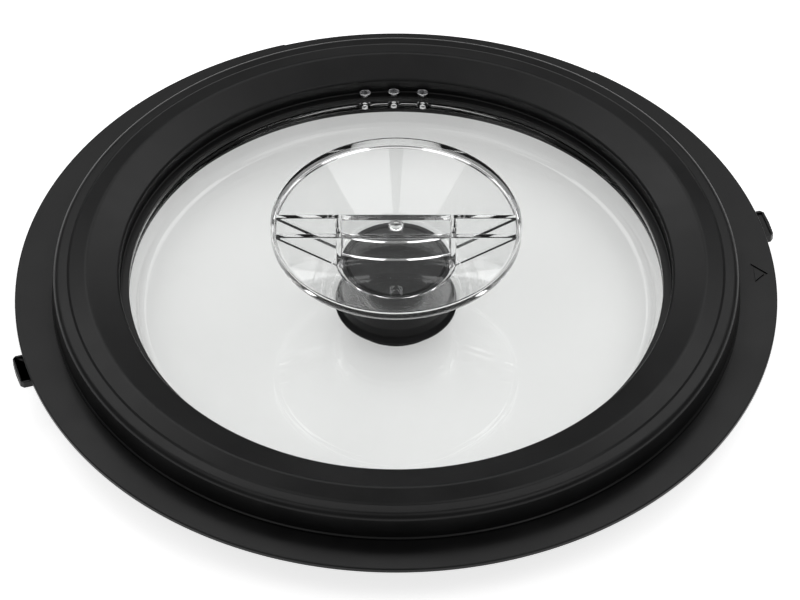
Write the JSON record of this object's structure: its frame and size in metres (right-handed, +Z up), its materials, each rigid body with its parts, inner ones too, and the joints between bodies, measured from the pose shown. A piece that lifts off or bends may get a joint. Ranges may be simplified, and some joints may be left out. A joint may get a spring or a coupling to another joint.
{
  "type": "cooker lid",
  "caption": "Round black cooker lid with a pan-shaped glass window, a central collar, a clear lift-out cap with a grip bar, vent holes and lock tabs.",
  "frame": {"origin": "centre of the ring the lid stands on, at the height of its resting plane", "axes": "+Z up along the lid's axis; X along the cap's grip bar, the arrow mark and one lock tab towards +X; -Y is the side nearest the viewer, the vent holes are at +Y"},
  "size_m": [0.3004, 0.2992, 0.0545],
  "materials": {
    "black_plastic": "satin moulded",
    "black_silicone": "matte",
    "clear_glass": "polished",
    "clear_plastic": "clear moulded plastic, polished",
    "steel": "bright"
  },
  "bodies": {
    "lid": {"flange_ring": "black_plastic", "skirt_ring": "black_plastic", "bezel_ring": "black_plastic", "glass_window": "clear_glass", "bezel_gasket": "black_silicone", "seat_gasket": "black_silicone", "pot_seal": "black_silicone", "lock_tab_left": "black_plastic", "lock_tab_right": "black_plastic", "tab_screw_left": "steel", "tab_screw_right": "steel", "collar": "black_plastic", "collar_gasket": "black_silicone", "collar_washer": "black_silicone", "collar_hub": "black_plastic", "collar_nut": "black_plastic", "bezel_screw_1": "steel", "bezel_screw_2": "steel", "bezel_screw_3": "steel", "bezel_screw_4": "steel", "bezel_screw_5": "steel", "bezel_screw_6": "steel", "bezel_screw_7": "steel", "bezel_screw_8": "steel", "vent_eyelet_1": "steel", "vent_eyelet_2": "steel", "vent_eyelet_3": "steel"},
    "cap_carrier": {"cap_plug": "black_silicone"},
    "cap": {"cap_dish": "clear_plastic", "cap_grip": "clear_plastic"}
  },
  "joints": [
    {"name": "cap_lift", "type": "slide", "parent": "lid", "child": "cap_carrier", "axis": [0, 0, 1], "range_m": [0, 0.06]},
    {"name": "cap_turn", "type": "hinge", "parent": "cap_carrier", "child": "cap", "pos_m": [0, 0, 0.036], "axis": [0, 0, 1], "range_deg": [-180, 180]}
  ]
}
